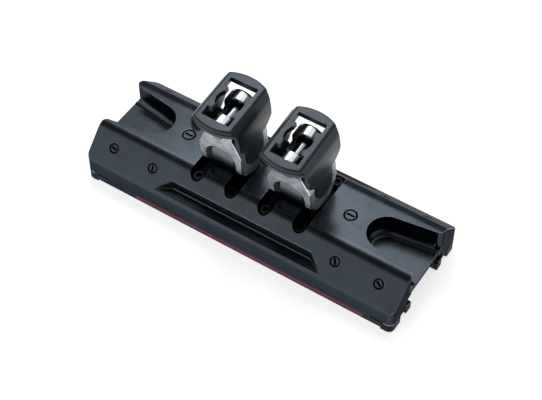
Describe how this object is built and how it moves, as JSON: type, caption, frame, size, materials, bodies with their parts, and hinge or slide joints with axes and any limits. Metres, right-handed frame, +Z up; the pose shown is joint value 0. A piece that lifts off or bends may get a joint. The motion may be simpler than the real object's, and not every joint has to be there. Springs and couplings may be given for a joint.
{
  "type": "mainsheet traveller car",
  "caption": "Long captive-ball traveller car with sloping sides, scooped ends and two hinged stand-up toggles that take mainsheet blocks on cross pins.",
  "frame": {"origin": "middle of the car's flat underside", "axes": "+X along the track, +Y across it towards the far side, +Z up"},
  "size_m": [0.286, 0.1, 0.1166],
  "materials": {
    "anodised_body": "hard anodised, satin grey",
    "black_moulding": "moulded, fine grain",
    "black_metal": "hard anodised, black",
    "cap_moulding": "moulded, satin black",
    "stainless": "polished",
    "bush_bronze": "sintered, plain",
    "washer_plastic": "plain white",
    "ball_plastic": "moulded, polished"
  },
  "bodies": {
    "car": {"car_body": "anodised_body", "ball_return_near_left": "black_moulding", "ball_return_near_right": "black_moulding", "ball_return_far_left": "black_moulding", "ball_return_far_right": "black_moulding", "return_screws_left": "stainless", "return_screws_right": "stainless", "balls_near": "ball_plastic", "balls_far": "ball_plastic", "ball_strip_near": "stainless", "ball_strip_far": "stainless", "side_plugs_near": "black_moulding", "side_plugs_far": "black_moulding", "top_plugs": "black_moulding", "toggle_1_base": "black_metal", "toggle_1_base_screws": "stainless", "toggle_1_hinge_bush": "bush_bronze", "toggle_2_base": "black_metal", "toggle_2_base_screws": "stainless", "toggle_2_hinge_bush": "bush_bronze"},
    "toggle_1": {"toggle_1_hinge_pin": "stainless", "toggle_1_hinge_washers": "washer_plastic", "toggle_1_fork": "stainless", "toggle_1_clevis_bushes": "washer_plastic", "toggle_1_clevis_pin": "stainless", "toggle_1_clevis_ring": "stainless", "toggle_1_cap": "cap_moulding"},
    "toggle_2": {"toggle_2_hinge_pin": "stainless", "toggle_2_hinge_washers": "washer_plastic", "toggle_2_fork": "stainless", "toggle_2_clevis_bushes": "washer_plastic", "toggle_2_clevis_pin": "stainless", "toggle_2_clevis_ring": "stainless", "toggle_2_cap": "cap_moulding"}
  },
  "joints": [
    {"name": "toggle_1_hinge", "type": "hinge", "parent": "car", "child": "toggle_1", "pos_m": [-0.0313, 0, 0.0605], "axis": [1, 0, 0], "range_deg": [-49.5, 40.5]},
    {"name": "toggle_2_hinge", "type": "hinge", "parent": "car", "child": "toggle_2", "pos_m": [0.0313, 0, 0.0605], "axis": [1, 0, 0], "range_deg": [-52.5, 37.5]}
  ]
}
